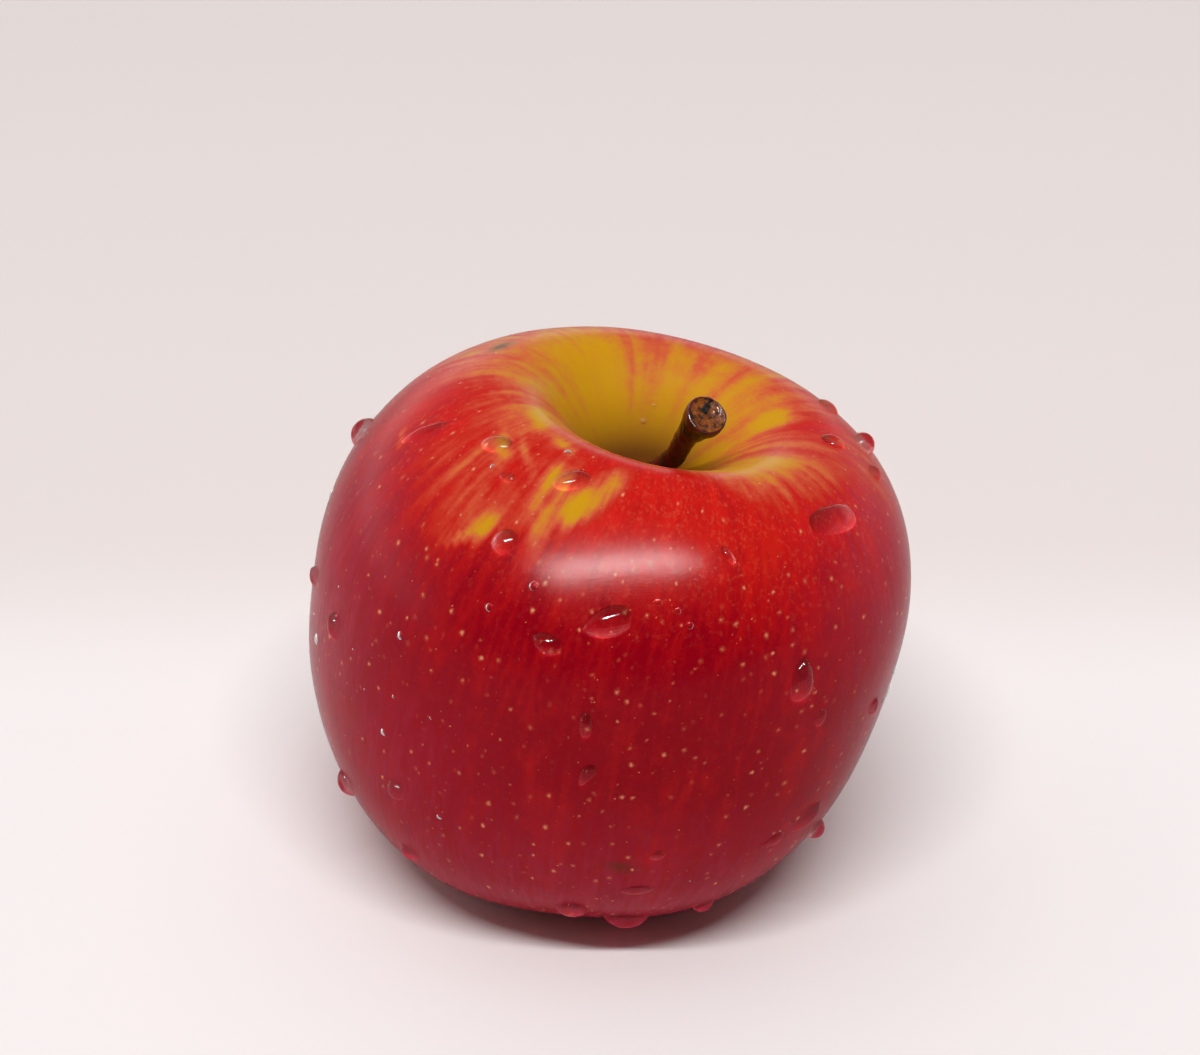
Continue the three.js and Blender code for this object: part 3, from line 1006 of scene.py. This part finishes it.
@dataclass(frozen=True)
class BrokenWood:
    """The broken end of the stalk: amber wood, stained by weather and glistening with wet."""

    amber: str = "#8C4600"
    brown: str = "#4C1E02"
    black: str = "#0E0C06"
    pale: str = "#B87A20"
    fibre_width: float = 0.625  # mm
    fibre_depth: float = 0.2
    stain_width: float = 1.33333
    roughness: float = 0.42
    specular: float = 0.2
    wetness: float = 0.25
    wet_roughness: float = 0.08

    def build(self) -> Material:
        """Makes the material."""
        material, add = new_material("broken_stalk_wood")
        in_mm = in_millimetres(add)
        torn = {"Scale": 1 / self.fibre_width, "Detail": 5.0, "Roughness": 0.65, "Distortion": 0.4}
        fibre = add("TexNoise", {"Vector": in_mm, **torn})
        stain = add("TexNoise", {"Vector": in_mm, "Scale": 1 / self.stain_width, "Detail": 3.0})
        stains = (
            (fibre, (0.45, 0.6), self.brown),
            (stain, (0.54, 0.64), self.black),
            (fibre, (0.36, 0.28), self.pale),
        )
        layers = [
            (add("MapRange", {"Value": pattern, **span(places)}, **SMOOTH), code)
            for pattern, places, code in stains
        ]
        bump = add("Bump", {"Height": fibre, "Strength": 0.9, "Distance": self.fibre_depth * MM})
        wood = {
            "Base Color": overlay(add, linear(self.amber), *layers),
            "Normal": bump,
            "Roughness": self.roughness,
            "Specular IOR Level": self.specular,
            "Coat Weight": self.wetness,
            "Coat Roughness": self.wet_roughness,
        }
        finish_material(add, wood)
        return material


@dataclass
class Stem:
    """The stem: a bent shaft with bark ridges, and a knob that ends in a dished, broken face."""

    end_direction: Vector = field(default_factory=lambda: Vector((0.37, -0.54, 0.75)))
    end_tilt: float = 0.8  # cosine of how far the faces of the broken end may turn from that
    end_depth: float = 0.8  # mm below the tip at which they may lie
    rim: float = 0.42  # mm of bark round the broken face
    wall: float = 0.2  # mm from the rim in to the wood
    dish: float = 0.3  # mm from the rim down to it
    ring: float = 0.6  # mm between the rings that the wood is cut into, to be roughened
    hollow: float = 0.1  # mm that the middle lies lower still
    ridge_width: float = 0.6
    ridge_depth: float = 0.09
    ridge_stretch: Triple = (1.0, 1.0, 0.3)
    lump_width: float = 1.8
    lump_depth: float = 0.15
    levels: int = 3
    piece: Object = field(init=False, default=None)

    def build(self) -> None:
        """Makes the stem and dresses it."""
        self.piece = copy_of("stem", "woody_stem")
        self.open_face()
        subdivide(self.piece, self.levels)
        self.carve()
        finish_piece(self.piece, "stem_bark", ("stem",), Bark().build(), BrokenWood().build())

    def open_face(self) -> None:
        """Insets the broken end to leave a rim of bark, and sinks the wood inside it."""
        towards = self.end_direction.normalized()
        tip = max(vertex.co.dot(towards) for vertex in self.piece.data.vertices)
        lowest = tip - self.end_depth * MM
        for part in (*self.piece.data.edges, *self.piece.data.vertices):
            part.select = False
        for face in self.piece.data.polygons:
            turned = face.normal.dot(towards) < self.end_tilt
            face.select = not turned and face.center.dot(towards) > lowest
        with editing(self.piece, None):
            bpy.ops.mesh.dissolve_faces()
            bpy.ops.mesh.inset(thickness=self.rim * MM, depth=0.0)
        for face in self.piece.data.polygons:
            face.material_index = int(face.select)
        with editing(self.piece, None):
            bpy.ops.mesh.inset(thickness=self.wall * MM, depth=-self.dish * MM)
            bpy.ops.mesh.inset(thickness=self.ring * MM, depth=-self.hollow * MM)
            bpy.ops.mesh.inset(thickness=self.ring * MM, depth=0.0)
            bpy.ops.mesh.poke()

    def carve(self) -> None:
        """Raises bark ridges and knots along the shaft, and roughens the broken face."""
        places = vertex_array(self.piece)
        ridge = ripple(places * self.ridge_stretch, self.ridge_width) * self.ridge_depth
        lump = ripple(places, self.lump_width) * self.lump_depth
        places += vertex_array(self.piece, "normal") * (ridge + lump)[:, None] * MM
        move_vertices(self.piece, places)


# ---- Dried calyx ----


@dataclass(frozen=True)
class DriedLeaf:
    """Withered flower parts at the foot of the fruit: papery, brown and matt."""

    light: str = "#8A6238"
    dark: str = "#3E2412"
    stretch: Triple = (1.0, 1.0, 0.3)
    fibre_width: float = 0.41667  # mm
    fibre_depth: float = 0.15
    roughness: float = 0.8

    def build(self) -> Material:
        """Makes the material."""
        material, add = new_material("withered_sepal")
        fibrous = {"Scale": 1 / self.fibre_width, "Detail": 4.0, "Roughness": 0.6}
        fibre = add("TexNoise", {"Vector": in_millimetres(add, self.stretch), **fibrous})
        shade = add("MapRange", {"Value": fibre, **span((0.35, 0.65))}, **SMOOTH)
        colour = overlay(add, linear(self.dark), (shade, self.light))
        bump = add("Bump", {"Height": fibre, "Strength": 0.8, "Distance": self.fibre_depth * MM})
        finish_material(add, {"Base Color": colour, "Normal": bump, "Roughness": self.roughness})
        return material


@dataclass
class Calyx:
    """The dried calyx in the basin: five curled sepals round a tuft of stamens."""

    sepals: int = 5
    crumple: float = 0.18  # mm
    crumple_width: float = 1.3
    lowest: float = 0.3  # mm above the ground
    levels: int = 2

    def build(self) -> None:
        """Makes the sepals and the tuft."""
        material = DriedLeaf().build()
        names = {f"sepal_{i + 1}": f"dry_sepal_{i + 1}" for i in range(self.sepals)}
        names["dried_stamens"] = "stamen_tuft"
        for node, name in names.items():
            piece = copy_of(node, name)
            subdivide(piece, self.levels)
            places = vertex_array(piece)
            places += wander(places, self.crumple_width) * self.crumple * MM
            places[:, 2] = np.maximum(places[:, 2], self.lowest * MM)
            move_vertices(piece, places)
            finish_piece(piece, "dried_calyx", (node,), material)


# ---- Studio ----


@dataclass
class Studio:
    """Pale floor, soft light and the camera."""

    aim: Vector = field(default_factory=lambda: Vector((-0.6, 0.0, 45.9)) * MM)
    distance: float = 315.4  # mm from the camera to the aim
    elevation: float = 31.51  # degrees that the camera looks down
    lens: float = 73.6  # mm, on a sensor this wide
    sensor: float = 36.0
    sight: Pair = (0.01, 20.0)  # m from the camera, between which things are seen
    floor_size: float = 8.0  # m
    floor_colour: str = "#F4F0F0"
    backdrop_colour: str = "#E8E0DE"
    # share of the floor's colour blacked out where the skin mirrors it, a painted dimming of its
    # reflection, in front and behind
    floor_gloss_loss: Pair = (0.6, 0.3)
    gloss_turn: Pair = (-40.0, 30.0)  # mm from the fruit's middle, front to back
    floor_turn: Pair = (25.0, 75.0)  # mm behind the fruit's middle, front to back
    reach: float = 2.5  # m from the fruit to the strips
    lit_height: float = 35.0  # mm above the ground, where the lamps point
    key_elevation: float = 67.0  # degrees
    key_size: Pair = (2.0, 0.13)
    key_radiance: float = 58.0
    glint_elevation: float = 59.6
    glint_side: float = -0.27  # m
    glint_size: Pair = (2.2, 0.14)
    glint_radiance: float = 140.0
    glint_tilt: float = 13.0  # degrees, down to the right
    box_place: Triple = (0.0, 0.5, 2.4)
    box_size: Pair = (2.4, 2.0)
    box_radiance: float = 0.4
    # how bright the room is from front to back, and its share from left to right
    room_depth: Pair = (0.02, 0.6)
    room_turn: Pair = (-0.6, 0.1)  # where it turns, as parts of a direction
    room_sides: Pair = (1.45, 0.55)
    room_reach: Pair = (-0.9, 0.9)
    # how much brighter the room is where the skin mirrors it, near the ground and overhead
    room_gloss: Pair = (2.6, 0.5)
    room_rise: Pair = (0.05, 0.4)

    def build(self) -> None:
        """Makes the stage."""
        self.lay_floor()
        self.set_lights()
        self.set_world()
        self.set_camera()
        bpy.context.scene.view_settings.view_transform = "Standard"

    def lay_floor(self) -> None:
        """A wide, matt, pale floor."""
        bpy.ops.object.select_all(action="DESELECT")
        bpy.ops.mesh.primitive_plane_add(size=self.floor_size)
        floor = bpy.context.object
        floor.name = "floor"
        material, add = new_material("matt_paper")
        depth = add("SeparateXYZ", {"Vector": in_millimetres(add)}).outputs["Y"]
        back = add("MapRange", {"Value": depth, **span(self.floor_turn)}, **SMOOTH)
        # painted reflection: glossy rays see the floor darker, most in front of the fruit
        cut = {"Value": depth, **span(self.gloss_turn, self.floor_gloss_loss)}
        mirrored = {0: add("LightPath").outputs["Is Glossy Ray"], 1: add("MapRange", cut, **SMOOTH)}
        loss = add("Math", mirrored, operation="MULTIPLY")
        tones = ((back, self.backdrop_colour), (loss, "#000000"))
        colour = overlay(add, linear(self.floor_colour), *tones)
        finish_material(add, {"Base Color": colour, "Roughness": 0.9, "Specular IOR Level": 0.1})
        floor.data.materials.append(material)

    def add_light(self, name: str, place: Vector, size: Pair, radiance: float) -> Object:
        """Adds a soft rectangular lamp that faces the fruit.

        Args:
            name: the lamp's name.
            place: where it hangs, in metres.
            size: its width and height in metres.
            radiance: how bright its face is, where 1 is white.

        Returns:
            The lamp.
        """
        light = bpy.data.lights.new(name, "AREA")
        light.shape = "RECTANGLE"
        light.size, light.size_y = size
        light.energy = radiance * math.pi * size[0] * size[1]
        lamp = bpy.data.objects.new(name, light)
        lamp.location = place
        towards = Vector((0, 0, self.lit_height * MM)) - place
        lamp.rotation_euler = towards.to_track_quat("-Z", "Y").to_euler()
        bpy.context.scene.collection.objects.link(lamp)
        return lamp

    def add_strip(self, name: str, elevation: float, size: Pair, radiance: float) -> Object:
        """Adds a long strip above the camera, at this elevation in degrees."""
        rise = math.radians(elevation)
        place = self.reach * Vector((0, -math.cos(rise), math.sin(rise)))
        return self.add_light(name, place, size, radiance)

    def set_lights(self) -> None:
        """A strip that lights the fruit, a strip that only glints on it, and a soft box overhead."""
        key = self.add_strip("key_strip", self.key_elevation, self.key_size, self.key_radiance)
        sharp = self.glint_elevation, self.glint_size, self.glint_radiance
        glint = self.add_strip("glint_strip", *sharp)
        glint.location.x = self.glint_side
        glint.rotation_euler.rotate_axis("Z", math.radians(self.glint_tilt))
        glint.visible_diffuse = False
        box = self.add_light("soft_box", Vector(self.box_place), self.box_size, self.box_radiance)
        for lamp in (key, box):
            lamp.visible_glossy = False
            lamp.visible_transmission = False
            lamp.visible_camera = False

    def set_world(self) -> None:
        """A pale room: bright behind the fruit, dim on the camera's side, where nothing is lit."""
        world = bpy.data.worlds.new("pale_room")
        bpy.context.scene.world = world
        world.use_nodes = True
        world.node_tree.nodes.clear()
        add = partial(add_node, world.node_tree)
        view = add("TexCoord").outputs["Generated"]
        along = add("SeparateXYZ", {"Vector": view}).outputs
        path = add("LightPath").outputs
        light = add("MapRange", {"Value": along["Y"], **span(self.room_turn, self.room_depth)}, **SMOOTH)
        gloss = add("MapRange", {"Value": along["Z"], **span(self.room_rise, self.room_gloss)}, **SMOOTH)
        sides = add("MapRange", {"Value": along["X"], **span(self.room_reach, self.room_sides)})
        mirrored = add("MapRange", {"Value": path["Is Glossy Ray"], "To Min": 1.0, "To Max": gloss})
        for share in (sides, mirrored):
            light = add("Math", {0: light, 1: share}, operation="MULTIPLY")
        seen = {"Factor": path["Is Camera Ray"], "A": light, "B": 1.0}
        strength = add("Mix", seen, data_type="FLOAT")
        pale = {"Color": linear(self.backdrop_colour), "Strength": strength}
        add("OutputWorld", {"Surface": add("Background", pale)})

    def set_camera(self) -> None:
        """The camera, in front of the fruit and looking down on it."""
        camera = bpy.data.objects.new("camera", bpy.data.cameras.new("camera"))
        pitch = math.radians(self.elevation)
        away = Vector((0, -math.cos(pitch), math.sin(pitch)))
        camera.location = self.aim + self.distance * MM * away
        camera.rotation_euler = (math.pi / 2 - pitch, 0, 0)
        camera.data.lens = self.lens
        camera.data.sensor_width = self.sensor
        camera.data.clip_start, camera.data.clip_end = self.sight
        bpy.context.scene.collection.objects.link(camera)
        bpy.context.scene.camera = camera


def main() -> None:
    """Builds every sub-assembly in turn."""
    logging.basicConfig(level=logging.INFO, format="%(name)s: %(message)s")
    noise.seed_set(NOISE_SEED)
    Studio().build()
    fruit = Fruit()
    fruit.build()
    water = Water().build()
    Drops(fruit, water).build()
    FineBeads(fruit, water).build()
    Stem().build()
    Calyx().build()


if __name__ == "__main__":
    main()
